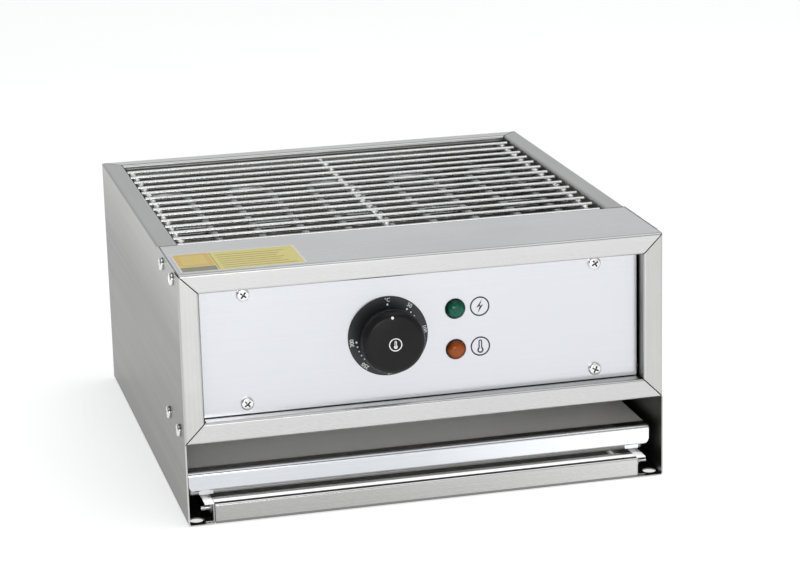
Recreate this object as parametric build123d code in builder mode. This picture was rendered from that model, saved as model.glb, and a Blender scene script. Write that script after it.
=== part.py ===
from build123d import *
import os

os.makedirs("parts", exist_ok=True)

# Electric fish roaster: a folded stainless body with a rod grate on top, five
# tubular elements below it, a recessed control box at the front and a drip
# tray that pulls out of the front. Millimetres, +Z up, the front faces -Y.
# Origin: centre of the four base holes, at the level of the base flanges.

# ---------------------------------------------------------------- body
W = 380.0           # overall width over the side panels
D = 400.0           # overall depth
H = 198.0           # overall height of the body
T = 1.0             # sheet thickness
HW = W / 2
HD = D / 2
FL = 16.0           # visible width of every flange and frame member
RET = 12.0          # depth of the folded return behind each flange
R_OUT = 2.2         # outside bend radius
R_IN = 1.2          # inside bend radius
BASE_FL = 20.5      # width of the inward base flange
BASE_HOLE_R = 5.4   # base hole radius
BASE_HOLE_X = 182.3
BASE_HOLE_Y = 188.8

# ---------------------------------------------------------------- control box
BOX_D = 90.5        # depth of the control box
BOX_Z0 = 65.0       # underside of the control box
BOX_Y1 = -HD + BOX_D
PANEL_Y = -HD + RET         # front face of the recessed control panel
MITRE_GAP = 0.6
SEAM_GAP = 0.7      # seam between the box cover and the side flanges
GASKET = 1.25       # gasket between the control panel and the flanges behind it
PANEL_GAP = 0.7     # gap over and under the control panel
M5_R = 2.48         # shank of the box and panel screws
SIDE_SCREWS = [(-179.5, 190.3), (-133.0, 190.3), (-179.5, 71.3), (-133.0, 71.3)]
PANEL_SCREWS = [(-139.0, 175.6), (137.6, 175.6), (-139.0, 90.0), (137.6, 90.0)]

BACK_SCREW_Z = [30.0, 100.0, 170.0]
GLAND_X, GLAND_Z, GLAND_R = 140.0, 42.0, 8.2

# ---------------------------------------------------------------- controls
DIAL_X, DIAL_Z = -27.9, 132.8
DIAL_R = 31.35
DIAL_T = 1.5
KNOB_R = 25.2
SHAFT_R = 3.0
LAMP_X = 25.7
LAMP_Z = [149.2, 116.8]     # upper and lower lamp
LAMP_R = 7.6

# ---------------------------------------------------------------- grate
ROD_N = 14
ROD_PITCH = 20.4
ROD_Y0 = -96.8      # front rod
ROD_R = 1.7
ROD_L = 345.2
ROD_Z = 194.0
CROSS_R = 2.2
CROSS_X = [-167.0, 0.0, 167.0]
CROSS_Z = ROD_Z - ROD_R - CROSS_R + 0.25     # rods are welded 0.25 into them

# ---------------------------------------------------------------- elements
EL_Z = 175.0
EL_R = 3.3
EL_PITCH = 36.0
EL_APEX = 150.0     # centre line of the rear bend
EL_END = -131.0

# ---------------------------------------------------------------- tray
TRAY_HW = 183.75    # half width of the pan
TRAY_X = -2.45      # the tray sits a little to the left in its bay
TRAY_Z0 = 16.5
TRAY_TOP = 38.4
TRAY_Y1 = 181.0

# ---------------------------------------------------------------- runners and rails
RUN_X = 169.2       # inner face of a runner web
RUN_TOP = 16.1
RAIL_Y0 = -HD + 0.6
RAIL_Z1 = 16.2
RAIL_HW = 168.9
BOLT_Z = 10.8


def edges_along(part, axis, **at):
    """Edges of part parallel to axis whose middle is at the given x, y or z."""
    def ok(e):
        c = e.center()
        return all(abs({"x": c.X, "y": c.Y, "z": c.Z}[k] - v) < 0.06 for k, v in at.items())
    return part.edges().filter_by(axis).filter_by(ok)


def plane_at(x, y, z, normal):
    """Sketch plane through a point, facing along normal, with a level x axis."""
    n = Vector(*normal)
    xd = Vector(0, 0, 1).cross(n) if abs(n.Z) < 0.9 else Vector(1, 0, 0)
    return Plane(origin=(x, y, z), x_dir=xd, z_dir=n)


def fold(sk, path, t=T, r_out=R_OUT, r_in=R_IN):
    """Section of a folded sheet in the sketch sk: path runs along one face and
    the thickness lies to its left; every corner of the path becomes a bend."""
    n = len(path)
    lefts = []
    for (x0, y0), (x1, y1) in zip(path, path[1:]):
        ln = ((x1 - x0) ** 2 + (y1 - y0) ** 2) ** 0.5
        lefts.append((-(y1 - y0) / ln, (x1 - x0) / ln))
    other, turns = [], []
    for i, (x, y) in enumerate(path):
        if i in (0, n - 1):
            lx, ly = lefts[0] if i == 0 else lefts[-1]
            other.append((x + lx * t, y + ly * t))
            turns.append(0)
        else:
            (ax, ay), (bx, by) = lefts[i - 1], lefts[i]
            k = t / (1 + ax * bx + ay * by)
            other.append((x + (ax + bx) * k, y + (ay + by) * k))
            turns.append(1 if ax * by - ay * bx > 0 else -1)
    Polygon(*path, *other[::-1], align=None)
    outer = [p for p, k in zip(path, turns) if k > 0] + [p for p, k in zip(other, turns) if k < 0]
    inner = [p for p, k in zip(other, turns) if k > 0] + [p for p, k in zip(path, turns) if k < 0]
    for pts, r in ((outer, r_out), (inner, r_in)):
        found = [v for v in sk.vertices() if any(abs(v.X - p[0]) + abs(v.Y - p[1]) < 0.01 for p in pts)]
        fillet(found, r)


def write(builder, name):
    builder.part.label = name
    export_step(builder.part, f"parts/{name}.step")


# ================================================================ side panels
m = MITRE_GAP
SEAM = BOX_Y1 + SEAM_GAP        # front end of the side flanges, a seam behind the box
with BuildPart() as left_side_panel:
    # wall with top flange, its return, and the base flange
    with BuildSketch(Plane.XZ.offset(-(HD - 1.1))) as s1:
        fold(s1, [(-HW + FL, H - RET), (-HW + FL, H), (-HW, H), (-HW, 0), (-HW + BASE_FL, 0)])
    extrude(amount=HD - 1.1 - SEAM)
    # wall beside the control box, without the top flange
    with BuildSketch(Plane.XZ.offset(-SEAM)) as s2:
        fold(s2, [(-HW, H), (-HW, 0), (-HW + BASE_FL, 0)])
    extrude(amount=SEAM + HD - 4)
    # the same section below the frame, out to the front plane
    with BuildSketch(Plane.XZ.offset(HD - 4)) as s3:
        fold(s3, [(-HW, BOX_Z0), (-HW, 0), (-HW + BASE_FL, 0)])
    extrude(amount=4)
    # upright frame member with its return, folded from the same sheet
    with BuildSketch(Plane.XY.offset(BOX_Z0)) as s4:
        fold(s4, [(-HW, -HD + 4), (-HW, -HD), (-HW + FL, -HD), (-HW + FL, -HD + RET - 1.2)])
    extrude(amount=H - BOX_Z0)
    # mitres of the upright member, top and bottom
    with BuildSketch(Plane.XZ.offset(HD + 1)):
        Polygon((-HW - 1, H + 1 - m), (-HW + FL, H - FL - m), (-HW + FL + 1, H - FL - m),
                (-HW + FL + 1, H + 3), (-HW - 1, H + 3), align=None)
        Polygon((-HW + T, BOX_Z0 + T + m), (-HW + FL, BOX_Z0 + FL + m), (-HW + FL + 1, BOX_Z0 + FL + m),
                (-HW + FL + 1, BOX_Z0 - 1), (-HW + T, BOX_Z0 - 1), align=None)
    extrude(amount=-(1 + RET), mode=Mode.SUBTRACT)
    # rear flange, folded inward behind the back panel
    with BuildSketch(Plane.XY.offset(T)):
        with Locations((-HW + FL / 2, HD - 1.6)):
            Rectangle(FL, T)
    extrude(amount=H - RET - 4)
    # mitre of the top flange at the rear corner
    with BuildSketch(Plane.XY.offset(H - RET - 1)):
        Polygon((-HW - 1, HD + 1 - m), (-HW + FL, HD - FL - m), (-HW + FL + 2, HD - FL - m),
                (-HW + FL + 2, HD + 2), (-HW - 1, HD + 2), align=None)
    extrude(amount=RET + 3, mode=Mode.SUBTRACT)
    # base holes
    with BuildSketch(Plane.XY.offset(-1)):
        with Locations((-BASE_HOLE_X, -BASE_HOLE_Y), (-BASE_HOLE_X, BASE_HOLE_Y)):
            Circle(BASE_HOLE_R)
    extrude(amount=3, mode=Mode.SUBTRACT)
    # clearance holes for the control box screws
    with BuildSketch(Plane.YZ.offset(-HW - 1)):
        with Locations(*SIDE_SCREWS):
            Circle(M5_R + 0.25)
    extrude(amount=3, mode=Mode.SUBTRACT)
    # holes in the rear flange for the back panel screws
    with BuildSketch(Plane.XZ.offset(-(HD + 1))):
        with Locations(*[(-HW + 8, z) for z in BACK_SCREW_Z]):
            Circle(2.0)
    extrude(amount=5, mode=Mode.SUBTRACT)
write(left_side_panel, "left_side_panel")

with BuildPart() as right_side_panel:
    mirror(left_side_panel.part, about=Plane.YZ)
write(right_side_panel, "right_side_panel")

# ================================================================ back panel
with BuildPart() as back_panel:
    with BuildSketch(Plane.YZ.offset(-HW)) as s:
        fold(s, [(HD, 1.5), (HD, H), (HD - FL, H), (HD - FL, H - RET)])
    extrude(amount=W)
    # mitred ends of the top flange
    with BuildSketch(Plane.XY.offset(H - RET - 1)):
        for k in (-1, 1):
            Polygon((k * (HW + 1), HD - T - 0.01), (k * (HW - 1 - m), HD - T - 0.01), (k * (HW - FL - m), HD - FL),
                    (k * (HW - FL - m), HD - FL - 1), (k * (HW + 1), HD - FL - 1), align=None)
    extrude(amount=RET + 3, mode=Mode.SUBTRACT)
    # the return ends between the side returns
    with BuildSketch(Plane.XY.offset(H - RET - 1)):
        for k in (-1, 1):
            with Locations((k * (HW - FL + 0.2), HD - FL + 0.5)):
                Rectangle(3.0, 1.6)
    extrude(amount=RET - 1.5, mode=Mode.SUBTRACT)
    # screw holes and the hole of the cable gland
    with BuildSketch(Plane.XZ.offset(-(HD + 1))):
        with Locations(*[(k * (HW - 8), z) for k in (-1, 1) for z in BACK_SCREW_Z]):
            Circle(2.2)
        with Locations((GLAND_X, GLAND_Z)):
            Circle(GLAND_R)
    extrude(amount=4, mode=Mode.SUBTRACT)
write(back_panel, "back_panel")

# ================================================================ control box
IN = HW - T - 0.2           # half width between the side walls
EN = IN - 0.4               # half width of the folded cover, a seam inside the walls
PANEL_BACK = PANEL_Y + T + GASKET       # front of the flanges behind the panel
RX = HW - FL - T - 0.6      # half width of the returns round the panel opening
for nm, cz in (("top", 1), ("bottom", -1)):
    # both covers share one section, mirrored about the middle height of the box
    ZM = (H + BOX_Z0) / 2
    ZH = (H - BOX_Z0) / 2
    with BuildPart() as cover:
        with BuildSketch(Plane.YZ.offset(-EN)) as s:
            path = [(BOX_Y1, ZH - RET), (BOX_Y1, ZH), (-HD, ZH), (-HD, ZH - FL),
                    (PANEL_BACK, ZH - FL), (PANEL_BACK, ZH - FL - 14)]
            if cz > 0:
                fold(s, [(y, ZM + z) for y, z in path])
            else:
                fold(s, [(y, ZM - z) for y, z in path[::-1]])
        extrude(amount=2 * EN)
        # mitred ends of the front member
        with BuildSketch(Plane.XZ.offset(HD + 1)):
            for k in (-1, 1):
                Polygon((k * (IN + 1), ZM + cz * (ZH - T)), (k * (HW - T - m), ZM + cz * (ZH - T)),
                        (k * (HW - FL - m), ZM + cz * (ZH - FL)), (k * (HW - FL - m), ZM + cz * (ZH - FL - 1)),
                        (k * (IN + 1), ZM + cz * (ZH - FL - 1)), align=None)
        extrude(amount=-(1 + T + R_IN + 0.2), mode=Mode.SUBTRACT)
        # the return behind the member, and the narrower flange under the panel
        for k in (-1, 1):
            with BuildSketch(Plane.XY.offset(ZM + cz * (ZH - T - R_IN - 0.01))):
                with Locations((k * (RX + 12), (-HD + T + R_IN + PANEL_Y + 4) / 2 + 0.6)):
                    Rectangle(24, PANEL_Y + 4 + HD - T - R_IN + 1.0)
            extrude(amount=-cz * 35, mode=Mode.SUBTRACT)
            with BuildSketch(Plane.XY.offset(ZM + cz * (ZH - FL - R_IN))):
                with Locations((k * (RX + 5), PANEL_Y + 2)):
                    Rectangle(16, 6)
            extrude(amount=-cz * 16, mode=Mode.SUBTRACT)
        # end flanges that take the side screws
        for k in (-1, 1):
            with BuildSketch(Plane.YZ.offset(k * IN - (T if k > 0 else 0))):
                with Locations(((-HD + BOX_Y1) / 2 + 2, ZM + cz * (ZH - 8.45))):
                    Rectangle(BOX_D - 22, 15.1)
            extrude(amount=T)
        with BuildSketch(Plane.YZ.offset(-HW)):
            with Locations(*[p for p in SIDE_SCREWS if (p[1] - ZM) * cz > 0]):
                Circle(M5_R + 0.02)
        extrude(amount=W, mode=Mode.SUBTRACT)
        with BuildSketch(Plane.XZ.offset(-(PANEL_Y + 4))):
            with Locations(*[p for p in PANEL_SCREWS if (p[1] - ZM) * cz > 0]):
                Circle(M5_R + 0.02)
        extrude(amount=4, mode=Mode.SUBTRACT)
    write(cover, f"control_box_{nm}")

EL_X = [(-4.5 + i) * EL_PITCH for i in range(10)]
WALL_Y = BOX_Y1 - T - 0.2       # chamber side of the rear wall of the box
CAP_Z = 146.0
BULB_X, BULB_Z = DIAL_X + 9.9, 164.0
with BuildPart() as control_box_rear_wall:
    # sheet between the folds of the top and bottom covers: the front wall of the chamber
    with BuildSketch(Plane.XZ.offset(-WALL_Y)):
        with Locations((0, (H + BOX_Z0) / 2)):
            Rectangle(2 * (HW - T - 1.6), H - BOX_Z0 - 2 * T - 3.0)
        with Locations(*[(x, EL_Z) for x in EL_X]):
            Circle(6.1, mode=Mode.SUBTRACT)
        with Locations((BULB_X, BULB_Z)):
            Circle(1.6, mode=Mode.SUBTRACT)
    extrude(amount=T)
write(control_box_rear_wall, "control_box_rear_wall")

PANEL_HW = HW - FL - T - 0.8
with BuildPart() as control_panel:
    with BuildSketch(Plane.XZ.offset(-(PANEL_Y + T))):
        with Locations((0, (H + BOX_Z0) / 2)):
            Rectangle(2 * PANEL_HW, H - BOX_Z0 - 2 * FL - 2 * PANEL_GAP)
        with Locations(*PANEL_SCREWS):
            Circle(M5_R + 0.2, mode=Mode.SUBTRACT)
        with Locations((DIAL_X, DIAL_Z)):
            Circle(5.2, mode=Mode.SUBTRACT)
        with Locations((DIAL_X - 14, DIAL_Z), (DIAL_X + 14, DIAL_Z)):
            Circle(2.1, mode=Mode.SUBTRACT)
        with Locations(*[(LAMP_X, z) for z in LAMP_Z]):
            Circle(5.1, mode=Mode.SUBTRACT)
    extrude(amount=T)
write(control_panel, "control_panel")

with BuildPart() as panel_gasket:
    # strips of black foam between the panel and the flanges above and below the opening
    with BuildSketch(Plane.XZ.offset(-(PANEL_BACK - 0.02))):
        for z in (BOX_Z0 + FL + 1.3 + 5.2, H - FL - 1.3 - 5.2):
            with Locations((0, z)):
                Rectangle(336.0, 10.4)
        with Locations(*PANEL_SCREWS):
            Circle(M5_R + 0.3, mode=Mode.SUBTRACT)
    extrude(amount=GASKET - 0.04)
write(panel_gasket, "panel_gasket")


def cap_mid(r, edge, tip):
    """Middle point of the arc of a spherical cap from radius r down to its tip."""
    h = abs(tip - edge)
    big = (r * r + h * h) / (2 * h)
    way = 1 if tip > edge else -1
    return (r / 2, tip - way * (big - (big * big - r * r / 4) ** 0.5))


def screw(x, y, z, d, head_r=4.0, head_h=2.5, shank=9.0, r=1.98, turn=0.0):
    """Pan-head cross-recess screw: (x, y, z) is under the head, d points out of it."""
    n = Vector(*d)
    across = Vector(0, 0, 1).cross(n)
    # section plane through the axis: local x is radial, local y runs along d
    with BuildSketch(Plane(origin=(x, y, z), x_dir=across, z_dir=across.cross(n))) as half:
        with BuildLine():
            Line((0, -shank), (r, -shank))
            Line((r, -shank), (r, 0))
            Line((r, 0), (head_r, 0))
            Line((head_r, 0), (head_r, head_h * 0.40))
            ThreePointArc((head_r, head_h * 0.40), (head_r * 0.93, head_h * 0.70), (head_r * 0.74, head_h * 0.86))
            ThreePointArc((head_r * 0.74, head_h * 0.86), cap_mid(head_r * 0.74, head_h * 0.86, head_h), (0, head_h))
            Line((0, head_h), (0, -shank))
        make_face()
    revolve(half.sketch, axis=Axis((x, y, z), d))
    with BuildSketch(Plane(origin=(x, y, z), x_dir=across, z_dir=n).offset(head_h + 0.01)) as cross:
        Rectangle(head_r * 1.15, head_r * 0.25, rotation=turn)
        Rectangle(head_r * 0.25, head_r * 1.15, rotation=turn)
    extrude(cross.sketch, amount=-head_h * 0.72, taper=8, mode=Mode.SUBTRACT)


with BuildPart() as control_panel_screws:
    for (x, z), turn in zip(PANEL_SCREWS, (52.0, 31.0, 40.0, 63.0)):
        screw(x, PANEL_Y - 0.02, z, (0, -1, 0), head_r=5.0, head_h=3.1, r=M5_R, turn=turn)
write(control_panel_screws, "control_panel_screws")

with BuildPart() as left_side_screws:
    for (y, z), turn in zip(SIDE_SCREWS, (15.0, 48.0, 70.0, 33.0)):
        screw(-HW - 0.02, y, z, (-1, 0, 0), head_r=4.9, head_h=3.1, shank=7.0, r=M5_R, turn=turn)
write(left_side_screws, "left_side_screws")

with BuildPart() as right_side_screws:
    mirror(left_side_screws.part, about=Plane.YZ)
write(right_side_screws, "right_side_screws")

with BuildPart() as back_panel_screws:
    for k in (-1, 1):
        for z in BACK_SCREW_Z:
            screw(k * (HW - 8), HD + 0.02, z, (0, 1, 0), shank=6.0, turn=20.0 + z * 0.9)
write(back_panel_screws, "back_panel_screws")

# ================================================================ thermostat, dial and knob
with BuildPart() as dial_bezel:
    with BuildSketch(Plane.XZ.offset(-(PANEL_Y - 0.02))):
        with Locations((DIAL_X, DIAL_Z)):
            Circle(DIAL_R)
            Circle(5.2, mode=Mode.SUBTRACT)
        with Locations((DIAL_X - 14, DIAL_Z), (DIAL_X + 14, DIAL_Z)):
            Circle(3.6, mode=Mode.SUBTRACT)
    extrude(amount=DIAL_T)
    chamfer(dial_bezel.edges().filter_by(GeomType.CIRCLE).filter_by(
        lambda e: abs(e.radius - DIAL_R) < 0.01 and e.center().Y < PANEL_Y - 1), 0.5)
write(dial_bezel, "dial_bezel")

with BuildPart() as thermostat_screws:
    for k in (-1, 1):
        screw(DIAL_X + k * 14, PANEL_Y - 0.02, DIAL_Z, (0, -1, 0), head_r=3.4, head_h=1.6, shank=7.0)
write(thermostat_screws, "thermostat_screws")

TH_Y0 = PANEL_Y + T + 0.02
with BuildPart() as thermostat_body:
    with BuildSketch(Plane.XZ.offset(-(TH_Y0))):
        with Locations((DIAL_X, DIAL_Z)):
            RectangleRounded(36, 34, 3)
    extrude(amount=-2.0)
    with BuildSketch(Plane.XZ.offset(-(TH_Y0 + 2.0))):
        with Locations((DIAL_X, DIAL_Z)):
            RectangleRounded(38, 40, 3)
    extrude(amount=-30.0)
    with BuildSketch(Plane.XZ.offset(-(TH_Y0 + 32.0))):
        with Locations(*[(DIAL_X + a, DIAL_Z - 12 + b) for a in (-12, 12) for b in (0, 10)]):
            Rectangle(0.8, 6.3)
    extrude(amount=-8.0)
    with BuildSketch(Plane.XZ.offset(-(TH_Y0))):
        with Locations((DIAL_X, DIAL_Z)):
            Circle(SHAFT_R + 0.06)
        with Locations((DIAL_X - 14, DIAL_Z), (DIAL_X + 14, DIAL_Z)):
            Circle(2.02)
    extrude(amount=-16.0, mode=Mode.SUBTRACT)
write(thermostat_body, "thermostat_body")

with BuildPart() as thermostat_shaft:
    with BuildSketch(Plane.XZ.offset(-(TH_Y0 + 15.0))):
        with Locations((DIAL_X, DIAL_Z)):
            Circle(SHAFT_R)
    extrude(amount=TH_Y0 + 15.0 - (PANEL_Y - 15.0))
    # flat of the shaft inside the knob
    with BuildSketch(Plane.XZ.offset(-(PANEL_Y - 3.0))):
        with Locations((DIAL_X, DIAL_Z + SHAFT_R + 0.6)):
            Rectangle(8, 4.0)
    extrude(amount=14, mode=Mode.SUBTRACT)
write(thermostat_shaft, "thermostat_shaft")

KB = PANEL_Y - DIAL_T - 0.6         # back face of the knob's skirt
with BuildPart() as knob:
    with BuildSketch(Plane(origin=(DIAL_X, KB, DIAL_Z), x_dir=(1, 0, 0), z_dir=(0, 0, 1))):
        # local y is the row's Y: the dome points to -Y
        with BuildLine():
            Line((0, 0), (21.4, 0))
            Line((21.4, 0), (22.0, -0.7))
            Line((22.0, -0.7), (KNOB_R - 0.3, -13.6))
            ThreePointArc((KNOB_R - 0.3, -13.6), (KNOB_R, -14.9), (KNOB_R - 0.5, -16.3))
            ThreePointArc((KNOB_R - 0.5, -16.3), (23.0, -19.3), (19.2, -21.0))
            ThreePointArc((19.2, -21.0), cap_mid(19.2, -21.0, -22.9), (0, -22.9))
            Line((0, -22.9), (0, 0))
        make_face()
    revolve(axis=Axis((DIAL_X, KB, DIAL_Z), (0, 1, 0)))
    # hollow back with a hub
    with BuildSketch(Plane.XZ.offset(-KB)):
        with Locations((DIAL_X, DIAL_Z)):
            Circle(19.6)
            Circle(6.5, mode=Mode.SUBTRACT)
    extrude(amount=15.0, taper=2, mode=Mode.SUBTRACT)
    # D-shaped bore
    with BuildSketch(Plane.XZ.offset(-KB)):
        with Locations((DIAL_X, DIAL_Z)):
            Circle(SHAFT_R)
        with Locations((DIAL_X, DIAL_Z + SHAFT_R + 0.6)):
            Rectangle(8, 4.0, mode=Mode.SUBTRACT)
    extrude(amount=13.2, mode=Mode.SUBTRACT)
    with BuildSketch(Plane.XZ.offset(-KB)):
        with Locations((DIAL_X, DIAL_Z)):
            Circle(SHAFT_R + 0.02)
    extrude(amount=1.6, mode=Mode.SUBTRACT)
write(knob, "knob")

# capillary from the back of the thermostat to the bulb in the chamber
CAP_R = 1.1
with BuildPart() as thermostat_capillary:
    with BuildLine() as cap:
        FilletPolyline(
            (DIAL_X, TH_Y0 + 32.0, CAP_Z), (DIAL_X, TH_Y0 + 52.0, CAP_Z),
            (BULB_X, TH_Y0 + 62.0, BULB_Z), (BULB_X, BOX_Y1 + 4.0, BULB_Z), radius=6,
        )
    with BuildSketch(Plane(origin=cap.line @ 0, z_dir=cap.line % 0)):
        Circle(CAP_R)
    sweep()
write(thermostat_capillary, "thermostat_capillary")

with BuildPart() as thermostat_bulb:
    with BuildSketch(Plane.XZ.offset(-(BOX_Y1 + 4.0))):
        with Locations((BULB_X, BULB_Z)):
            Circle(3.0)
    extrude(amount=-92.0)
    fillet(thermostat_bulb.edges().filter_by(GeomType.CIRCLE), 1.2)
write(thermostat_bulb, "thermostat_bulb")

with BuildPart() as bulb_clip:
    # bracket from the rear wall that holds the bulb under the elements
    BY = WALL_Y + 0.03
    with BuildSketch(Plane.XZ.offset(-BY)):
        with Locations((BULB_X, BULB_Z - 9)):
            Rectangle(12, 22)
        with Locations((BULB_X, BULB_Z)):
            Circle(1.6, mode=Mode.SUBTRACT)
    extrude(amount=-T)
    with BuildSketch(Plane.XY.offset(BULB_Z - 4.2)):
        with Locations((BULB_X, BY + 30)):
            Rectangle(8, 60)
    extrude(amount=T)
    for yy in (BY + 20, BY + 52):
        with BuildSketch(Plane.XZ.offset(-yy)):
            with Locations((BULB_X, BULB_Z)):
                Circle(4.1)
                Circle(3.05, mode=Mode.SUBTRACT)
            with Locations((BULB_X, BULB_Z + 3.6)):
                Rectangle(3.0, 3.0, mode=Mode.SUBTRACT)
        extrude(amount=-6)
write(bulb_clip, "bulb_clip")

# ================================================================ lamps
for nm, lz in (("green", LAMP_Z[0]), ("amber", LAMP_Z[1])):
    with BuildPart() as lamp_body:
        with BuildSketch(Plane(origin=(LAMP_X, PANEL_Y - 0.02, lz), x_dir=(1, 0, 0), z_dir=(0, 0, 1))):
            Polygon((0, 4.0), (4.4, 4.0), (4.4, -1.0), (6.2, -1.0), (6.2, 0), (5.0, 0), (5.0, 24), (0, 24), align=None)
        revolve(axis=Axis((LAMP_X, PANEL_Y, lz), (0, 1, 0)))
        with BuildSketch(Plane.XZ.offset(-(PANEL_Y + 24 - 0.02))):
            with Locations((LAMP_X - 2.5, lz), (LAMP_X + 2.5, lz)):
                Rectangle(0.8, 4.8)
        extrude(amount=-8)
    write(lamp_body, f"{nm}_lamp_body")
    with BuildPart() as lamp_nut:
        with BuildSketch(Plane.XZ.offset(-(PANEL_Y + T + 0.02))):
            with Locations((LAMP_X, lz)):
                RegularPolygon(8.0, 6)
                Circle(5.0, mode=Mode.SUBTRACT)
        extrude(amount=-4)
    write(lamp_nut, f"{nm}_lamp_nut")
    with BuildPart() as lamp_lens:
        with BuildSketch(Plane(origin=(LAMP_X, PANEL_Y - 0.02, lz), x_dir=(1, 0, 0), z_dir=(0, 0, 1))):
            with BuildLine():
                Polyline((0, 3.8), (4.3, 3.8), (4.3, -1.05), (6.3, -1.05), (6.3, 0), (LAMP_R, 0), (LAMP_R, -1.7))
                ThreePointArc((LAMP_R, -1.7), cap_mid(LAMP_R, -1.7, -5.4), (0, -5.4))
                Line((0, -5.4), (0, 3.8))
            make_face()
        revolve(axis=Axis((LAMP_X, PANEL_Y, lz), (0, 1, 0)))
    write(lamp_lens, f"{nm}_lamp_lens")

# ================================================================ elements
for i in range(5):
    xa, xb = EL_X[2 * i], EL_X[2 * i + 1]
    xm, rr = (xa + xb) / 2, EL_PITCH / 2
    with BuildPart() as element:
        with BuildLine(Plane.XY.offset(EL_Z)) as p:
            Line((xa, EL_END), (xa, EL_APEX - rr))
            ThreePointArc((xa, EL_APEX - rr), (xm, EL_APEX), (xb, EL_APEX - rr))
            Line((xb, EL_APEX - rr), (xb, EL_END))
        with BuildSketch(Plane(origin=(xa, EL_END, EL_Z), z_dir=(0, 1, 0))):
            Circle(EL_R)
        sweep()
        # terminal studs
        with BuildSketch(Plane.XZ.offset(-(EL_END + 0.5))):
            with Locations((xa, EL_Z), (xb, EL_Z)):
                Circle(1.95)
        extrude(amount=21)
    write(element, f"heating_element_{i + 1}")

with BuildPart() as element_bushings:
    # threaded bushing with its hexagon on the chamber side
    for x in EL_X:
        with BuildSketch(Plane.XZ.offset(-(WALL_Y + 0.02))):
            with Locations((x, EL_Z)):
                RegularPolygon(9.0, 6)
        extrude(amount=-5)
        with BuildSketch(Plane.XZ.offset(-(WALL_Y + 0.02))):
            with Locations((x, EL_Z)):
                Circle(5.9)
        extrude(amount=14)
    with BuildSketch(Plane.XZ.offset(-(BOX_Y1 + 20))):
        with Locations(*[(x, EL_Z) for x in EL_X]):
            Circle(EL_R)
    extrude(amount=50, mode=Mode.SUBTRACT)
write(element_bushings, "element_bushings")

with BuildPart() as element_bushing_nuts:
    with BuildSketch(Plane.XZ.offset(-(WALL_Y - T - 0.02))):
        with Locations(*[(x, EL_Z) for x in EL_X]):
            RegularPolygon(9.0, 6)
            Circle(5.9, mode=Mode.SUBTRACT)
    extrude(amount=5)
write(element_bushing_nuts, "element_bushing_nuts")

with BuildPart() as element_insulators:
    with BuildSketch(Plane.XZ.offset(-(EL_END - 0.05))):
        with Locations(*[(x, EL_Z) for x in EL_X]):
            Circle(4.6)
            Circle(1.96, mode=Mode.SUBTRACT)
    extrude(amount=7)
write(element_insulators, "element_insulators")

with BuildPart() as element_ties:
    # short straps clipped across the two legs of each element
    for i in range(5):
        xa, xb = EL_X[2 * i], EL_X[2 * i + 1]
        with BuildSketch(Plane.XY.offset(EL_Z - EL_R - 1.1)):
            with Locations(((xa + xb) / 2, 28.0)):
                Rectangle(EL_PITCH + 9, 9)
        extrude(amount=1.0)
        with BuildSketch(Plane.YZ.offset(xa + EL_R + 0.1)):
            with Locations((28.0, EL_Z - 1.1)):
                Rectangle(9, 5.4)
        extrude(amount=1.0)
        with BuildSketch(Plane.YZ.offset(xb - EL_R - 1.1)):
            with Locations((28.0, EL_Z - 1.1)):
                Rectangle(9, 5.4)
        extrude(amount=1.0)
        with BuildSketch(Plane.XY.offset(EL_Z + 0.6)):
            with Locations(((xa + xb) / 2, 28.0)):
                Rectangle(EL_PITCH - 2 * EL_R - 0.2, 9)
        extrude(amount=1.0)
write(element_ties, "element_ties")

BUS_Y = EL_END - 7.3
for nm, k, sel in (("live", 1, EL_X[0::2]), ("neutral", -1, EL_X[1::2])):
    with BuildPart() as bus:
        with BuildSketch(Plane.XZ.offset(-BUS_Y)):
            with Locations(((sel[0] + sel[-1]) / 2, EL_Z + k * 9.0)):
                Rectangle(sel[-1] - sel[0] + 9, 5)
            with Locations(*[(x, EL_Z + k * 3.5) for x in sel]):
                Rectangle(9, 12)
            with Locations(*[(x, EL_Z) for x in sel]):
                Circle(2.0, mode=Mode.SUBTRACT)
        extrude(amount=1.0)
    write(bus, f"{nm}_bus_bar")

with BuildPart() as terminal_nuts:
    with BuildSketch(Plane.XZ.offset(-(BUS_Y - 1.05))):
        with Locations(*[(x, EL_Z) for x in EL_X]):
            RegularPolygon(4.0, 6)
            Circle(1.97, mode=Mode.SUBTRACT)
    extrude(amount=3.2)
write(terminal_nuts, "terminal_nuts")

# ================================================================ mains parts
with BuildPart() as terminal_block:
    with BuildSketch(Plane.XY.offset(BOX_Z0 + T + 0.02)):
        with Locations((110, -150)):
            RectangleRounded(46, 24, 2)
    extrude(amount=16)
    with BuildSketch(Plane.XY.offset(BOX_Z0 + T + 9)):
        with Locations((95, -150), (110, -150), (125, -150)):
            Rectangle(11, 30)
    extrude(amount=12, mode=Mode.SUBTRACT)
    with BuildSketch(Plane.XY.offset(BOX_Z0 + T)):
        with Locations((95, -150), (110, -150), (125, -150)):
            Circle(2.0)
    extrude(amount=30, mode=Mode.SUBTRACT)
write(terminal_block, "terminal_block")

with BuildPart() as terminal_block_screws:
    for x in (95, 110, 125):
        with BuildSketch(Plane.XY.offset(BOX_Z0 + T + 9.02)):
            with Locations((x, -150)):
                Circle(3.6)
        extrude(amount=2.4)
        with BuildSketch(Plane.XY.offset(BOX_Z0 + T + 1.0)):
            with Locations((x, -150)):
                Circle(1.98)
        extrude(amount=8.1)
        with BuildSketch(Plane.XY.offset(BOX_Z0 + T + 11.5)):
            with Locations((x, -150)):
                Rectangle(5.2, 0.9)
        extrude(amount=-1.0, mode=Mode.SUBTRACT)
write(terminal_block_screws, "terminal_block_screws")

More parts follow.
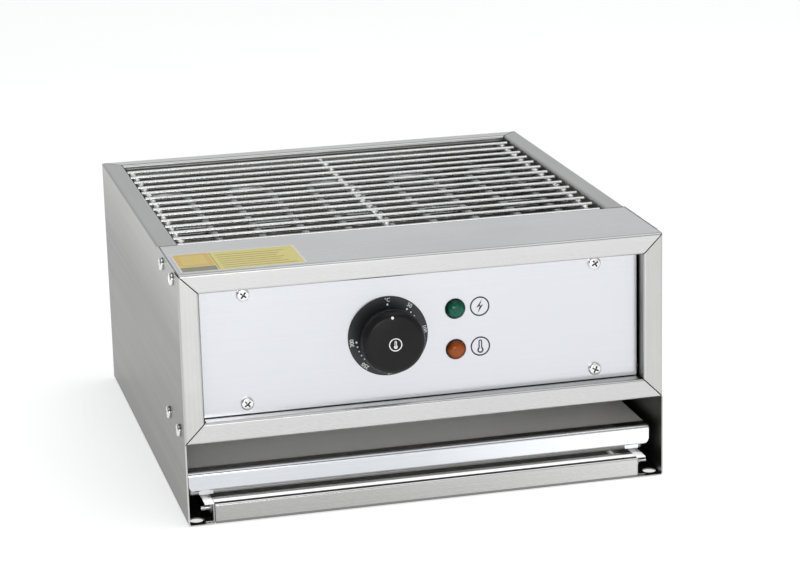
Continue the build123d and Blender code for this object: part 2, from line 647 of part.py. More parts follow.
with BuildPart() as earth_stud:
    with BuildSketch(Plane.XY.offset(BOX_Z0 + T + 0.02)):
        with Locations((150, -150)):
            Circle(2.4)
    extrude(amount=16)
    with BuildSketch(Plane.XY.offset(BOX_Z0 + T + 5)):
        with Locations((150, -150)):
            RegularPolygon(4.6, 6)
    extrude(amount=4)
write(earth_stud, "earth_stud")

with BuildPart() as cable_gland:
    # flange and dome outside the back panel, threaded neck inside, bored through
    with BuildSketch(Plane.XZ.offset(-(HD + 0.02))):
        with Locations((GLAND_X, GLAND_Z)):
            RegularPolygon(12.5, 6)
    extrude(amount=-4.5)
    with BuildSketch(Plane.XZ.offset(-(HD + 4.5))):
        with Locations((GLAND_X, GLAND_Z)):
            Circle(10.6)
    extrude(amount=-9.5)
    fillet(cable_gland.edges().filter_by(GeomType.CIRCLE).filter_by(lambda e: e.center().Y > HD + 12), 3.0)
    with BuildSketch(Plane.XZ.offset(-(HD + 0.02))):
        with Locations((GLAND_X, GLAND_Z)):
            Circle(GLAND_R - 0.1)
    extrude(amount=10.0)
    with BuildSketch(Plane.XZ.offset(-(HD + 16))):
        with Locations((GLAND_X, GLAND_Z)):
            Circle(4.2)
    extrude(amount=30, mode=Mode.SUBTRACT)
write(cable_gland, "cable_gland")

with BuildPart() as gland_locknut:
    with BuildSketch(Plane.XZ.offset(-(HD - T - 0.05))):
        with Locations((GLAND_X, GLAND_Z)):
            RegularPolygon(12.0, 6)
            Circle(GLAND_R - 0.08, mode=Mode.SUBTRACT)
    extrude(amount=4.0)
write(gland_locknut, "gland_locknut")

# ================================================================ chamber liners and grate supports
LX = HW - FL + T + 0.1      # inner face of the side liners, behind the returns
for nm, k in (("left", -1), ("right", 1)):
    with BuildPart() as liner:
        with BuildSketch(Plane.YZ.offset(k * (LX + T / 2) - T / 2)):
            with Locations(((BOX_Y1 + HD - FL) / 2 + 0.8, (46 + 195) / 2)):
                Rectangle(HD - FL - BOX_Y1 - 0.6, 195 - 46)
        extrude(amount=T)
    write(liner, f"{nm}_liner")

with BuildPart() as back_liner:
    with BuildSketch(Plane.XZ.offset(-(HD - FL + 2 * T + 0.1))):
        with Locations((0, (46 + 195) / 2)):
            Rectangle(2 * LX - 0.4, 195 - 46)
    extrude(amount=T)
write(back_liner, "back_liner")

SUP_Z = CROSS_Z - CROSS_R - 0.3        # top face of the supports
with BuildPart() as front_grate_support:
    with BuildSketch(Plane.YZ.offset(-170)):
        with BuildLine():
            y0 = BOX_Y1 + 0.02
            Polyline((y0, H - 3), (y0 + T, H - 3), (y0 + T, SUP_Z), (y0 + 14, SUP_Z), (y0 + 14, SUP_Z - T), (y0, SUP_Z - T), (y0, H - 3))
        make_face()
    extrude(amount=340)
write(front_grate_support, "front_grate_support")

with BuildPart() as rear_grate_support:
    with BuildSketch(Plane.YZ.offset(-170)):
        with BuildLine():
            y1 = HD - FL - 0.02
            Polyline((y1, H - 4), (y1 - T, H - 4), (y1 - T, SUP_Z), (y1 - 13, SUP_Z), (y1 - 13, SUP_Z - T), (y1, SUP_Z - T), (y1, H - 4))
        make_face()
    extrude(amount=340)
write(rear_grate_support, "rear_grate_support")

# ================================================================ grate
with BuildPart() as grate_rods:
    with BuildSketch(Plane.YZ.offset(-ROD_L / 2)):
        with Locations(*[(ROD_Y0 + i * ROD_PITCH, ROD_Z) for i in range(ROD_N)]):
            Circle(ROD_R)
    extrude(amount=ROD_L)
    chamfer(grate_rods.edges().filter_by(GeomType.CIRCLE), 0.35)
write(grate_rods, "grate_rods")

with BuildPart() as grate_cross_rods:
    with BuildSketch(Plane.XZ.offset(-(HD - 24))):
        with Locations(*[(x, CROSS_Z) for x in CROSS_X]):
            Circle(CROSS_R)
    extrude(amount=HD - 24 - (ROD_Y0 - 5))
    chamfer(grate_cross_rods.edges().filter_by(GeomType.CIRCLE), 0.4)
write(grate_cross_rods, "grate_cross_rods")

# ================================================================ drip tray
TF = -178.0         # front wall of the pan
with BuildPart() as tray_pan:
    with BuildSketch(Plane.XY.offset(TRAY_Z0)):
        with Locations((TRAY_X, (TF + TRAY_Y1) / 2)):
            Rectangle(2 * TRAY_HW, TRAY_Y1 - TF)
    extrude(amount=TRAY_TOP - T - 0.05 - TRAY_Z0)
    fillet(tray_pan.edges().filter_by(Axis.Z), 3.0)
    fillet(tray_pan.faces().sort_by(Axis.Z)[0].edges(), 1.8)
    offset(amount=-T, openings=tray_pan.faces().sort_by(Axis.Z)[-1])
write(tray_pan, "tray_pan")

# front cover: flat ledge, raised front edge, upright nose with a hem below
LEDGE_Y1 = -113.0
NOSE_Y = -189.2
NOSE_HW = TRAY_HW + 0.7
NOSE_Z0 = 23.2
with BuildPart() as tray_front:
    with BuildSketch(Plane.YZ.offset(TRAY_X - NOSE_HW)):
        with BuildLine():
            zt = TRAY_TOP + 1.1         # top of the raised edge
            yc, zc = NOSE_Y + 4.3, zt - 4.3
            yb, zb = NOSE_Y + 2.2, NOSE_Z0 + 2.2
            q = 0.70711
            Line((LEDGE_Y1, TRAY_TOP), (-170.5, TRAY_TOP))
            ThreePointArc((-170.5, TRAY_TOP), (-177.7, TRAY_TOP + 0.28), (yc, zt))
            ThreePointArc((yc, zt), (yc - 4.3 * q, zc + 4.3 * q), (NOSE_Y, zc))
            Line((NOSE_Y, zc), (NOSE_Y, zb))
            ThreePointArc((NOSE_Y, zb), (yb - 2.2 * q, zb - 2.2 * q), (yb, NOSE_Z0))
            Line((yb, NOSE_Z0), (-180.5, NOSE_Z0))
            Line((-180.5, NOSE_Z0), (-180.5, NOSE_Z0 + T))
            Line((-180.5, NOSE_Z0 + T), (yb, NOSE_Z0 + T))
            ThreePointArc((yb, NOSE_Z0 + T), (yb - 1.2 * q, zb - 1.2 * q), (NOSE_Y + T, zb))
            Line((NOSE_Y + T, zb), (NOSE_Y + T, zc))
            ThreePointArc((NOSE_Y + T, zc), (yc - 3.3 * q, zc + 3.3 * q), (yc, zt - T))
            ThreePointArc((yc, zt - T), (-177.7, TRAY_TOP + 0.28 - T), (-170.5, TRAY_TOP - T))
            Line((-170.5, TRAY_TOP - T), (LEDGE_Y1, TRAY_TOP - T))
            Line((LEDGE_Y1, TRAY_TOP - T), (LEDGE_Y1, TRAY_TOP))
        make_face()
    extrude(amount=2 * NOSE_HW)
    # rounded lower corners of the nose
    for k in (-1, 1):
        xe = TRAY_X + k * NOSE_HW
        with BuildSketch(Plane.XZ.offset(192)):
            with Locations((xe - k * 2.0, NOSE_Z0 + 2.0)):
                Rectangle(8.0, 8.0)
            with Locations((xe - k * 6.0, NOSE_Z0 + 6.0)):
                Circle(6.0, mode=Mode.SUBTRACT)
        extrude(amount=-12.5, mode=Mode.SUBTRACT)
    # rear edge folded down into the pan
    with BuildSketch(Plane.YZ.offset(TRAY_X - TRAY_HW + 4)):
        with Locations((LEDGE_Y1 - T / 2, TRAY_TOP - 6)):
            Rectangle(T, 12)
    extrude(amount=2 * (TRAY_HW - 4))
    # plates that close the nose near both ends, and a short tab below it
    for k in (-1, 1):
        with BuildSketch(Plane.YZ.offset(TRAY_X + k * (NOSE_HW - 7.0) - T / 2)):
            with BuildLine():
                Polyline((-188.6, 34.5), (-188.6, 30.0), (-187.0, 24.0), (-181.0, 24.0), (-178.6, 26.0),
                         (-178.6, 37.6), (-185.4, 38.8), (-188.6, 34.5))
            make_face()
        extrude(amount=T)
        with BuildSketch(Plane.XZ.offset(186.2)):
            with Locations((TRAY_X + k * (NOSE_HW - 13.5), NOSE_Z0 - 1.4)):
                Rectangle(11.0, 3.6)
        extrude(amount=-T)
write(tray_front, "tray_front")

# ================================================================ runners and rails
for nm, k in (("left", -1), ("right", 1)):
    with BuildPart() as runner:
        with BuildSketch(Plane.XZ.offset(-(HD - 5))) as s:
            with BuildLine():
                a = RUN_X
                Polyline((k * a, 1.05), (k * a, RUN_TOP), (k * (a + 7.4), RUN_TOP), (k * (a + 7.4), RUN_TOP - T),
                         (k * (a + T), RUN_TOP - T), (k * (a + T), 1.05 + T), (k * (a + 7.2), 1.05 + T), (k * (a + 7.2), 1.05), (k * a, 1.05))
            make_face()
        extrude(amount=2 * HD - 8)
        with BuildSketch(Plane.YZ.offset(k * a - 3)):
            with Locations((-190, BOLT_Z), (190, BOLT_Z)):
                Circle(2.05)
        extrude(amount=6, mode=Mode.SUBTRACT)
    write(runner, f"{nm}_tray_runner")

with BuildPart() as front_rail:
    with BuildSketch(Plane.YZ.offset(-RAIL_HW)) as s:
        y = RAIL_Y0
        fold(s, [(y + 15.5, RAIL_Z1), (y, RAIL_Z1), (y, 0.4)])
    extrude(amount=2 * RAIL_HW)
    for k in (-1, 1):
        with BuildSketch(Plane.YZ.offset(k * (RAIL_HW - T / 2) - T / 2)):
            with Locations((y + 8.0, (0.4 + RAIL_Z1 - 0.6) / 2)):
                Rectangle(15.0, RAIL_Z1 - 1.0)
            with Locations((-190, BOLT_Z)):
                Circle(2.05, mode=Mode.SUBTRACT)
        extrude(amount=T)
write(front_rail, "front_rail")

with BuildPart() as rear_rail:
    with BuildSketch(Plane.YZ.offset(-RAIL_HW)) as s:
        y = HD - 2.6
        fold(s, [(y, 1.2), (y, RUN_TOP), (y - 13.4, RUN_TOP), (y - 13.4, RUN_TOP + 10)])
    extrude(amount=2 * RAIL_HW)
    for k in (-1, 1):
        with BuildSketch(Plane.YZ.offset(k * (RAIL_HW - T / 2) - T / 2)):
            with Locations((y - 7.5, (1.2 + RUN_TOP - 0.6) / 2)):
                Rectangle(14.0, RUN_TOP - 1.8)
            with Locations((190, BOLT_Z)):
                Circle(2.05, mode=Mode.SUBTRACT)
        extrude(amount=T)
write(rear_rail, "rear_rail")

# rail screws: head inside the rail, thread standing out through the runner web
with BuildPart() as rail_screws:
    for k in (-1, 1):
        for yy in (-190.0, 190.0):
            x0 = k * (RAIL_HW - T - 0.03)
            with BuildSketch(Plane(origin=(x0, yy, BOLT_Z), x_dir=(k, 0, 0), z_dir=(0, -1, 0))):
                with BuildLine():
                    pts = [(-2.4, 0), (-2.4, 2.6), (-1.0, 3.9), (0, 3.9), (0, 1.98), (2.6, 1.98)]
                    xx = 2.9
                    while xx < 10.6:
                        pts += [(xx, 1.62), (xx + 0.35, 1.98)]
                        xx += 0.7
                    pts += [(11.2, 1.4), (11.2, 0), (-2.4, 0)]
                    Polyline(*pts)
                make_face()
            revolve(axis=Axis((x0, yy, BOLT_Z), (1, 0, 0)))
write(rail_screws, "rail_screws")

with BuildPart() as rail_nuts:
    for k in (-1, 1):
        for yy in (-190.0, 190.0):
            with BuildSketch(plane_at(k * (RUN_X + T + 0.03), yy, BOLT_Z, (k, 0, 0))):
                RegularPolygon(4.05, 6)
                Circle(1.99, mode=Mode.SUBTRACT)
            extrude(amount=1.8)
write(rail_nuts, "rail_nuts")

# ================================================================ blank label on the control box
with BuildPart() as blank_label:
    with BuildSketch(Plane.XY.offset(H + 0.01)):
        with Locations((-137.6, -167.4)):
            RectangleRounded(96.0, 55.0, 2.0)
    extrude(amount=0.2)
write(blank_label, "blank_label")
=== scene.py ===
import bpy, bmesh, math, random
from mathutils import Matrix, Vector


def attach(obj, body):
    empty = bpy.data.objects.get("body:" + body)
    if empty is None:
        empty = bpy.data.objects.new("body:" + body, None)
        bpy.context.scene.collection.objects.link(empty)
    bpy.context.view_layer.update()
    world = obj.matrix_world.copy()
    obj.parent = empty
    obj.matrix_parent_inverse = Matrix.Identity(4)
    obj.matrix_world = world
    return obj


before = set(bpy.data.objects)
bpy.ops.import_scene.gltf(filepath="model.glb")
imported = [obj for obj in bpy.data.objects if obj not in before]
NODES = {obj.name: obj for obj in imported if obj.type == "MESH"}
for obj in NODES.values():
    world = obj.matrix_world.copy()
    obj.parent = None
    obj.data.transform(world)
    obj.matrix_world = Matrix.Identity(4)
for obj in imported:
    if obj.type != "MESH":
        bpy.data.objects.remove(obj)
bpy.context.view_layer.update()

scene = bpy.context.scene
random.seed(7)

# ------------------------------------------------------------------ measures, in metres
PANEL_Y = -0.188            # front face of the control panel
TOP_Z = 0.198
DIAL = (-0.0279, 0.1328)    # axis of the dial: x, z
BEZEL_Y = -0.18952          # front face of the bezel
KNOB_Y0 = -0.1901           # back of the knob
LAMP_X = 0.0257
LAMP_Z = (0.1492, 0.1168)
ICON_X = 0.0447
ROD_Y0, ROD_PITCH, ROD_N, ROD_Z, ROD_R = -0.0968, 0.0204, 14, 0.194, 0.0017
CROSS_X = (-0.167, 0.0, 0.167)
LABEL = (-0.1376, -0.1674, 0.096, 0.055)    # centre x, y, width, depth


# ------------------------------------------------------------------ camera, from the photo's vanishing points
def put_camera():
    az, el, roll = (math.radians(a) for a in (13.71698, 15.61026, -1.50133))
    fwd = Vector((math.sin(az) * math.cos(el), math.cos(az) * math.cos(el), -math.sin(el)))
    right = Vector((math.cos(az), -math.sin(az), 0.0))
    up = right.cross(fwd)
    r2 = math.cos(roll) * right + math.sin(roll) * up
    u2 = -math.sin(roll) * right + math.cos(roll) * up
    cam = bpy.data.cameras.new("camera")
    cam.sensor_fit = "HORIZONTAL"
    cam.sensor_width = 36.0
    cam.lens = 2624.486 / 800.0 * 36.0
    cam.clip_start, cam.clip_end = 0.1, 60.0
    ob = bpy.data.objects.new("camera", cam)
    m = Matrix((r2, u2, -fwd)).transposed().to_4x4()
    m.translation = Vector((-0.473964, -2.058233, 0.702746))
    ob.matrix_world = m
    scene.collection.objects.link(ob)
    scene.camera = ob
    return ob


put_camera()
scene.view_settings.view_transform = "Standard"
scene.view_settings.look = "None"


# ------------------------------------------------------------------ node helpers
class Tree:
    """A material's node tree with short ways to add and link nodes."""

    def __init__(self, name):
        self.mat = bpy.data.materials.new(name)
        self.mat.use_nodes = True
        self.nt = self.mat.node_tree
        self.nt.nodes.clear()
        self.out = self.add("ShaderNodeOutputMaterial")
        self.bsdf = self.add("ShaderNodeBsdfPrincipled")
        self.nt.links.new(self.bsdf.outputs[0], self.out.inputs[0])
        self.tex = self.add("ShaderNodeTexCoord")
        self.pos = self.tex.outputs["Object"]

    def add(self, kind, **props):
        n = self.nt.nodes.new(kind)
        for k, v in props.items():
            setattr(n, k, v)
        return n

    def link(self, a, b):
        self.nt.links.new(a, b)

    def set(self, **values):
        names = {"base": "Base Color", "metal": "Metallic", "rough": "Roughness", "coat": "Coat Weight",
                 "coat_rough": "Coat Roughness", "spec": "Specular IOR Level", "aniso": "Anisotropic",
                 "trans": "Transmission Weight", "ior": "IOR", "sss": "Subsurface Weight", "emit": "Emission Strength"}
        for k, v in values.items():
            if k == "base":
                v = (*v, 1.0)
            self.bsdf.inputs[names[k]].default_value = v

    def scaled(self, sx, sy, sz, rot=(0, 0, 0)):
        m = self.add("ShaderNodeMapping")
        m.inputs["Scale"].default_value = (sx, sy, sz)
        m.inputs["Rotation"].default_value = rot
        self.link(self.pos, m.inputs["Vector"])
        return m.outputs[0]

    def noise(self, vec, scale=1.0, detail=2.0, rough=0.5):
        n = self.add("ShaderNodeTexNoise")
        n.inputs["Scale"].default_value = scale
        n.inputs["Detail"].default_value = detail
        n.inputs["Roughness"].default_value = rough
        self.link(vec, n.inputs["Vector"])
        return n.outputs["Fac"]

    def remap(self, fac, a0, a1, b0, b1):
        n = self.add("ShaderNodeMapRange")
        for i, v in enumerate((a0, a1, b0, b1)):
            n.inputs[i + 1].default_value = v
        self.link(fac, n.inputs[0])
        return n.outputs[0]

    def ramp(self, fac, stops):
        n = self.add("ShaderNodeValToRGB")
        while len(n.color_ramp.elements) < len(stops):
            n.color_ramp.elements.new(0.5)
        for e, (p, c) in zip(n.color_ramp.elements, stops):
            e.position = p
            e.color = (*c, 1.0)
        self.link(fac, n.inputs[0])
        return n.outputs[0]

    def math(self, op, a, b=None, c=None, clamp=False):
        n = self.add("ShaderNodeMath", operation=op, use_clamp=clamp)
        for i, v in enumerate((a, b, c)):
            if v is None:
                continue
            if isinstance(v, (int, float)):
                n.inputs[i].default_value = v
            else:
                self.link(v, n.inputs[i])
        return n.outputs[0]

    def mix(self, fac, a, b):
        n = self.add("ShaderNodeMix", data_type="RGBA")
        for sock, v in ((n.inputs[0], fac), (n.inputs[6], a), (n.inputs[7], b)):
            if isinstance(v, (int, float)):
                sock.default_value = v
            elif isinstance(v, tuple):
                sock.default_value = (*v, 1.0)
            else:
                self.link(v, sock)
        return n.outputs[2]

    def mix_value(self, fac, a, b):
        n = self.add("ShaderNodeMix", data_type="FLOAT")
        for sock, v in ((n.inputs[0], fac), (n.inputs[2], a), (n.inputs[3], b)):
            if isinstance(v, (int, float)):
                sock.default_value = v
            else:
                self.link(v, sock)
        return n.outputs[0]

    def bump(self, height, strength, distance, below=None):
        n = self.add("ShaderNodeBump")
        n.inputs["Strength"].default_value = strength
        n.inputs["Distance"].default_value = distance
        self.link(height, n.inputs["Height"])
        if below is not None:
            self.link(below, n.inputs["Normal"])
        return n.outputs[0]


def tint(c, k):
    return tuple(min(1.0, v * k) for v in c)


def brushed(name, base, rough, grain="x", aniso=0.55, contrast=0.05, wave=0.25, spread=0.05, blotch=0.03):
    """Brushed stainless sheet: fine streaks along grain, a slow tone drift and a slight waviness of the sheet."""
    t = Tree(name)
    long, fine = 2.2, 620.0
    sc = {"x": (long, fine, fine), "y": (fine, long, fine), "z": (fine, fine, long)}[grain]
    streak = t.noise(t.scaled(*sc), 1.0, 3.0, 0.65)
    sc2 = tuple(v * 0.22 if v > 10 else v * 0.8 for v in sc)
    broad = t.noise(t.scaled(*sc2), 1.0, 2.0, 0.5)
    drift = t.noise(t.pos, 7.0, 3.0, 0.55)
    f = t.math("ADD", t.math("MULTIPLY", streak, 0.6), t.math("MULTIPLY", broad, 0.4))
    f2 = t.remap(f, 0.32, 0.68, 0.0, 1.0)
    col = t.ramp(f2, [(0.0, tint(base, 1 - contrast)), (0.5, base), (1.0, tint(base, 1 + contrast))])
    col = t.mix(t.remap(drift, 0.35, 0.65, 0.0, 1.0), col, t.mix(1.0, col, tint(base, 1 - blotch)))
    t.link(col, t.bsdf.inputs["Base Color"])
    r = t.math("ADD", t.remap(f, 0.3, 0.7, rough - spread, rough + spread), t.remap(drift, 0.3, 0.7, -0.02, 0.02))
    t.link(r, t.bsdf.inputs["Roughness"])
    t.set(metal=1.0, aniso=aniso)
    tan = t.add("ShaderNodeCombineXYZ")
    for i, k in enumerate("xyz"):
        tan.inputs[i].default_value = 1.0 if k == grain else 0.0
    t.link(tan.outputs[0], t.bsdf.inputs["Tangent"])
    slow = t.noise(t.scaled(9.0, 9.0, 9.0), 1.0, 1.0, 0.4)
    nrm = t.bump(slow, wave, 0.004)
    nrm = t.bump(f, 0.12, 0.00006, nrm)
    t.link(nrm, t.bsdf.inputs["Normal"])
    return t.mat


def side_sheet(name, side, front, top, rough):
    """Side panel sheet: the outer wall, the upright front member and the top flange are brushed one after another,
    each along its own length, and differ a little in tone; the outer wall also carries painted shade, darker towards
    the bottom and lighter near its top."""
    t = Tree(name)
    sep = t.add("ShaderNodeSeparateXYZ")
    t.link(t.pos, sep.inputs[0])
    is_front = t.math("LESS_THAN", sep.outputs[1], -0.1984)
    is_top = t.math("GREATER_THAN", sep.outputs[2], 0.1974)
    wall = t.noise(t.scaled(620.0, 2.2, 620.0), 1.0, 3.0, 0.65)
    member = t.noise(t.scaled(620.0, 620.0, 2.6), 1.0, 3.0, 0.65)
    broad = t.noise(t.scaled(90.0, 1.6, 90.0), 1.0, 2.0, 0.5)
    drift = t.noise(t.pos, 6.0, 3.0, 0.55)
    f = t.math("ADD", t.math("MULTIPLY", t.mix_value(is_front, wall, member), 0.65), t.math("MULTIPLY", broad, 0.35))
    tone = t.remap(f, 0.32, 0.68, 0.955, 1.045)
    tone = t.math("MULTIPLY", tone, t.remap(drift, 0.3, 0.7, 0.97, 1.03))
    # painted shade: the outer wall's colour darkens towards the bottom and lightens near its top
    height = t.remap(sep.outputs[2], 0.0, 0.2, 0.0, 1.0)
    wall_painted_shade = t.ramp(height, [(0.0, tint(side, 0.42)), (0.12, tint(side, 0.47)), (0.35, tint(side, 0.49)),
                                (0.70, tint(side, 0.48)), (1.0, tint(side, 0.98))])
    base = t.mix(is_top, t.mix(is_front, wall_painted_shade, front), top)
    mul = t.add("ShaderNodeVectorMath", operation="SCALE")
    t.link(base, mul.inputs[0])
    t.link(tone, mul.inputs["Scale"])
    t.link(mul.outputs[0], t.bsdf.inputs["Base Color"])
    t.link(t.remap(f, 0.3, 0.7, rough - 0.04, rough + 0.05), t.bsdf.inputs["Roughness"])
    t.set(metal=1.0, aniso=0.5)
    tan = t.add("ShaderNodeCombineXYZ")
    t.link(t.math("SUBTRACT", 1.0, is_front), tan.inputs[1])
    t.link(is_front, tan.inputs[2])
    t.link(tan.outputs[0], t.bsdf.inputs["Tangent"])
    nrm = t.bump(t.noise(t.scaled(9.0, 9.0, 9.0), 1.0, 1.0, 0.4), 0.2, 0.004)
    t.link(t.bump(f, 0.10, 0.00006, nrm), t.bsdf.inputs["Normal"])
    return t.mat


def paint(node, mat):
    """A CAD node keeps its mesh and gets the material in every slot."""
    me = NODES[node].data
    if not me.materials:
        me.materials.append(mat)
    for i in range(len(me.materials)):
        me.materials[i] = mat


# ------------------------------------------------------------------ materials
M = {}
def zoned_sheet(name, zones, rough):
    """Brushed sheet whose tone and finish change from zone to zone, with painted light and shade in the zone colours:
    zones(t, x, y, z) gives colour, metallic and roughness sockets, and where the shading leans forwards."""
    t = Tree(name)
    sep = t.add("ShaderNodeSeparateXYZ")
    t.link(t.pos, sep.inputs[0])
    col, metal, extra, highlight_lean = zones(t, sep.outputs[0], sep.outputs[1], sep.outputs[2])
    streak = t.noise(t.scaled(2.2, 620.0, 620.0), 1.0, 3.0, 0.65)
    drift = t.noise(t.pos, 8.0, 3.0, 0.55)
    tone = t.math("MULTIPLY", t.remap(streak, 0.32, 0.68, 0.975, 1.025), t.remap(drift, 0.3, 0.7, 0.97, 1.03))
    mul = t.add("ShaderNodeVectorMath", operation="SCALE")
    t.link(col, mul.inputs[0])
    t.link(tone, mul.inputs["Scale"])
    t.link(mul.outputs[0], t.bsdf.inputs["Base Color"])
    t.link(metal, t.bsdf.inputs["Metallic"])
    t.link(t.math("ADD", t.remap(streak, 0.3, 0.7, rough - 0.03, rough + 0.03), extra), t.bsdf.inputs["Roughness"])
    nrm = t.bump(t.noise(t.scaled(9.0, 9.0, 9.0), 1.0, 1.0, 0.4), 0.18, 0.004)
    nrm = t.bump(streak, 0.08, 0.00005, nrm)
    if highlight_lean is not None:
        # shading only: the flange is flat, but takes its light as if it leant forwards
        lean = t.add("ShaderNodeCombineXYZ")
        t.link(t.math("MULTIPLY", highlight_lean, -0.93), lean.inputs[1])
        both = t.add("ShaderNodeVectorMath", operation="ADD")
        t.link(nrm, both.inputs[0])
        t.link(lean.outputs[0], both.inputs[1])
        unit = t.add("ShaderNodeVectorMath", operation="NORMALIZE")
        t.link(both.outputs[0], unit.inputs[0])
        nrm = unit.outputs[0]
    t.link(nrm, t.bsdf.inputs["Normal"])
    return t.mat


def tray_zones(t, x, y, z):
    """Bright nose, painted lighter to the right; a band of painted shade on top just behind its front; the flat ledge
    behind the raised nose has a dull, near-diffuse finish and is painted lighter to the left.
    """
    # painted light: the nose is lighter to the right
    nose = t.ramp(t.remap(x, -0.19, 0.19, 0.0, 1.0), [(0.0, (0.62, 0.64, 0.67)), (0.5, (0.66, 0.68, 0.71)),
                                                      (0.72, (0.84, 0.86, 0.885)), (0.85, (0.93, 0.945, 0.96)), (1.0, (0.95, 0.96, 0.97))])
    ledge = t.math("MULTIPLY", t.remap(y, -0.1775, -0.1735, 0.0, 1.0), t.math("GREATER_THAN", z, 0.034))
    # painted shade: a dark band on top just behind the nose front
    painted_shade_band = t.math("MULTIPLY", t.math("GREATER_THAN", y, -0.1862), t.math("GREATER_THAN", z, 0.034))
    col = t.mix(painted_shade_band, nose, (0.48, 0.47, 0.45))
    # painted light: the ledge is lighter to the left
    col = t.mix(ledge, col, t.ramp(t.remap(x, -0.19, 0.19, 0.0, 1.0), [(0.0, (0.97, 0.965, 0.93)), (1.0, (0.88, 0.87, 0.84))]))
    return col, t.math("SUBTRACT", 1.0, t.math("MULTIPLY", ledge, 0.85)), t.math("MULTIPLY", ledge, 0.22), None


def rail_zones(t, x, y, z):
    """Front rail: a bright strip of painted highlight along its top, a dark line of painted shade along the bend, a
    painted highlight on the bend, painted shade along the foot, and a face painted darker to the left.
    """
    # painted shade: the face is darker to the left
    face = t.ramp(t.remap(x, -0.17, 0.17, 0.0, 1.0), [(0.0, (0.40, 0.40, 0.385)), (0.55, (0.48, 0.48, 0.465)), (1.0, (0.62, 0.62, 0.605))])
    # painted shade along the foot of the face
    face = t.mix(t.math("LESS_THAN", z, 0.0024), face, (0.22, 0.22, 0.21))
    flat = t.math("GREATER_THAN", z, 0.0158)
    # painted highlight: film marks no film but the bright strip along the flat top, which also gets the forward-leaning
    # shading
    film = t.math("MULTIPLY", flat, t.math("MULTIPLY", t.math("GREATER_THAN", y, -0.1950), t.math("LESS_THAN", y, -0.1886)))
    # painted shade: a dark line on the flat top just behind the bend
    line = t.math("MULTIPLY", flat, t.math("MULTIPLY", t.math("LESS_THAN", y, -0.1950), t.math("GREATER_THAN", y, -0.1984)))
    # painted highlight along the bend
    bend = t.math("MULTIPLY", t.remap(y, -0.1986, -0.1982, 1.0, 0.0), t.remap(z, 0.0144, 0.0156, 0.0, 1.0))
    col = t.mix(bend, face, (0.80, 0.80, 0.80))
    col = t.mix(line, col, (0.09, 0.09, 0.088))
    col = t.mix(film, col, (0.97, 0.97, 0.97))
    return col, t.math("ADD", 1.0, 0.0), t.math("MULTIPLY", film, 0.02), film


def runner_zones(t, x, y, z):
    # painted highlight: film marks no film but the bright top strip of the runner, with the forward-leaning shading
    film = t.math("MULTIPLY", t.math("GREATER_THAN", z, 0.0156), t.math("LESS_THAN", y, -0.15))
    col = t.mix(film, (0.40, 0.40, 0.385), (0.95, 0.95, 0.95))
    return col, t.math("ADD", 1.0, 0.0), t.math("MULTIPLY", film, 0.02), film


M["front"] = brushed("steel_front", (0.59, 0.59, 0.585), 0.28, "x", wave=0.2, contrast=0.03)
M["side"] = side_sheet("steel_side", (0.43, 0.43, 0.415), (0.535, 0.535, 0.525), (0.52, 0.52, 0.51), 0.32)
M["top"] = brushed("steel_top", (0.60, 0.60, 0.595), 0.30, "x")
M["back"] = brushed("steel_back", (0.62, 0.62, 0.61), 0.32, "x")
# the chamber inside is a darker copy of the steel: heat tint, and painted shade of the deep chamber
M["inner"] = brushed("steel_inner", (0.40, 0.39, 0.375), 0.40, "x", contrast=0.1, blotch=0.15)
M["tray"] = zoned_sheet("steel_tray", tray_zones, 0.19)
# painted shade: the tray pan is a darker copy of the steel, for the shade under the box
M["pan"] = brushed("steel_pan", (0.42, 0.42, 0.41), 0.30, "x", contrast=0.06)
M["rail"] = brushed("steel_rail", (0.55, 0.545, 0.53), 0.28, "x")
M["front_rail"] = zoned_sheet("steel_front_rail", rail_zones, 0.27)
M["runner"] = zoned_sheet("steel_runner", runner_zones, 0.28)


def panel_material():
    """Control panel: satin steel under a clear protective film, which scatters a little light itself."""
    t = Tree("steel_panel")
    streak = t.noise(t.scaled(2.0, 1100.0, 1100.0), 1.0, 2.0, 0.6)
    drift = t.noise(t.pos, 5.0, 2.0, 0.5)
    tone = t.math("ADD", t.math("MULTIPLY", streak, 0.5), t.math("MULTIPLY", drift, 0.5))
    col = t.ramp(t.remap(tone, 0.3, 0.7, 0.0, 1.0), [(0.0, (0.645, 0.66, 0.69)), (1.0, (0.685, 0.70, 0.725))])
    t.link(col, t.bsdf.inputs["Base Color"])
    t.link(t.remap(drift, 0.3, 0.7, 0.15, 0.20), t.bsdf.inputs["Roughness"])
    t.set(metal=0.72, aniso=0.25, coat=0.35, coat_rough=0.06)
    slow = t.noise(t.scaled(6.0, 6.0, 6.0), 1.0, 1.0, 0.4)
    t.link(t.bump(slow, 0.12, 0.004), t.bsdf.inputs["Normal"])
    return t.mat


def polished(name, base, rough, speck=0.0, recess_shade=0.0):
    t = Tree(name)
    n = t.noise(t.pos, 900.0, 2.0, 0.6)
    d = t.noise(t.pos, 60.0, 2.0, 0.5)
    col = t.ramp(t.remap(d, 0.3, 0.7, 0.0, 1.0), [(0.0, tint(base, 0.90 - speck)), (1.0, tint(base, 1.04))])
    if recess_shade:
        # painted shade: darker in the recess and around the head, by ambient occlusion
        ao = t.add("ShaderNodeAmbientOcclusion")
        ao.samples = 8
        ao.inputs["Distance"].default_value = recess_shade
        col = t.mix(t.remap(ao.outputs["AO"], 0.40, 0.85, 0.0, 1.0), (0.02, 0.02, 0.02), col)
    t.link(col, t.bsdf.inputs["Base Color"])
    t.link(t.remap(n, 0.3, 0.7, rough * 0.8, rough * 1.3), t.bsdf.inputs["Roughness"])
    t.set(metal=1.0)
    t.link(t.bump(n, 0.08, 0.00004), t.bsdf.inputs["Normal"])
    return t.mat


